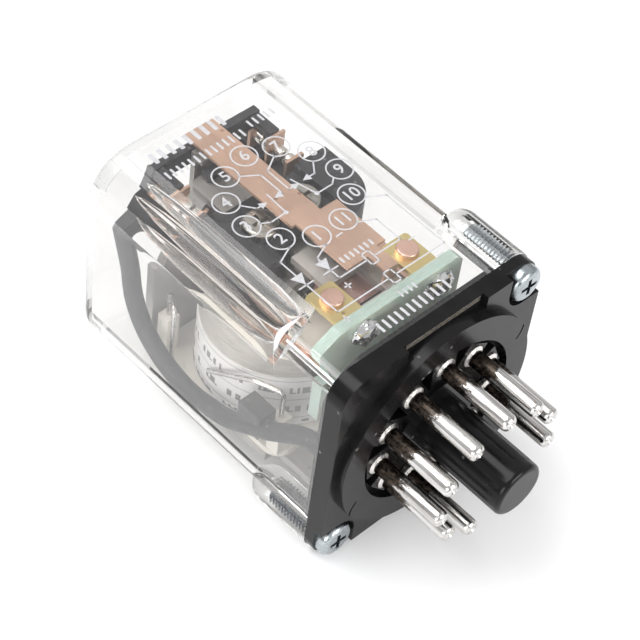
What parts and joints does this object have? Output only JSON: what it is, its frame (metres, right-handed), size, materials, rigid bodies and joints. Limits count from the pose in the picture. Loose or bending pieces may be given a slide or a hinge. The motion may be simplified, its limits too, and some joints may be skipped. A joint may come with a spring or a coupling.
{
  "type": "plug-in latching relay",
  "caption": "Plug-in latching relay: clear case on a round pin base with a keyed post, set and reset coils, a hinged armature and sprung changeover contacts inside.",
  "frame": {"origin": "plug axis, in the disc face that seats on the socket", "axes": "+X the way the pins point, +Z the printed side of the case, -Y the side that shows the large coil"},
  "size_m": [0.0627, 0.0344, 0.0344],
  "materials": {
    "clear_plastic": "clear glossy moulded plastic",
    "black_plastic": "glossy black moulding",
    "dark_moulding": "satin black moulding",
    "plated_pin": "solder-dipped pins, dull near the base",
    "zinc_screw": "bright zinc plate",
    "cream_nylon": "natural nylon",
    "coil_tape": "grey tape over the winding",
    "paper_label": "white paper",
    "plated_steel": "dull plated steel",
    "copper_strip": "bare copper alloy",
    "brass_tab": "bare brass",
    "enamelled_wire": "enamelled copper winding",
    "board_green": "pale green laminate",
    "solder": "bright solder",
    "contact_silver": "silver contacts",
    "spring_steel": "bare spring steel",
    "black_sleeve": "soft black insulation",
    "tinned_wire": "tinned copper wire",
    "diode_body": "moulded epoxy"
  },
  "bodies": {
    "root": {"clear_case": "clear_plastic", "base_plate": "black_plastic", "plug_pins": "plated_pin", "case_screws": "zinc_screw", "set_bobbin": "cream_nylon", "set_winding": "coil_tape", "set_label": "paper_label", "set_core": "plated_steel", "set_yoke": "plated_steel", "return_spring": "spring_steel", "contact_block": "dark_moulding", "block_screws": "zinc_screw", "fixed_blades": "copper_strip", "fixed_contacts": "contact_silver", "spring_strap": "copper_strip", "reset_bobbin": "cream_nylon", "reset_winding": "enamelled_wire", "reset_yoke": "plated_steel", "reset_core": "plated_steel", "circuit_board": "board_green", "board_tabs": "brass_tab", "tab_rivets": "copper_strip", "board_solder": "solder", "diodes": "diode_body", "contact_strips": "copper_strip", "strip_rivets": "copper_strip", "lead_wire": "black_sleeve", "lead_clip": "dark_moulding", "coil_end_left": "tinned_wire", "coil_end_right": "tinned_wire"},
    "set_armature": {"set_armature": "plated_steel", "pusher_card": "dark_moulding"},
    "blade_left": {"moving_blade_left": "copper_strip", "moving_contacts_left": "contact_silver"},
    "blade_right": {"moving_blade_right": "copper_strip", "moving_contacts_right": "contact_silver"},
    "latch_lever": {"latch_lever": "plated_steel", "latch_roller": "dark_moulding"}
  },
  "joints": [
    {"name": "armature_hinge", "type": "hinge", "parent": "root", "child": "set_armature", "pos_m": [-0.0398, 0, 0.0048], "axis": [0, 1, 0], "range_deg": [0, 4], "stiffness_Nm_per_rad": 0.006, "springref_deg": -14.32},
    {"name": "blade_left_flex", "type": "hinge", "parent": "root", "child": "blade_left", "pos_m": [-0.0403, -0.0082, 0.007], "axis": [0, 1, 0], "range_deg": [0, 5.4]},
    {"name": "blade_right_flex", "type": "hinge", "parent": "root", "child": "blade_right", "pos_m": [-0.0403, 0.0082, 0.007], "axis": [0, 1, 0], "range_deg": [0, 5.4]},
    {"name": "latch_hinge", "type": "hinge", "parent": "root", "child": "latch_lever", "pos_m": [-0.0247, 0, 0.0098], "axis": [0, 1, 0], "range_deg": [-3, 0], "stiffness_Nm_per_rad": 0.004, "springref_deg": 14.32}
  ],
  "couplings": [
    {"joint": "blade_left_flex", "follows": "armature_hinge", "ratio": 1.3},
    {"joint": "blade_right_flex", "follows": "armature_hinge", "ratio": 1.3}
  ]
}
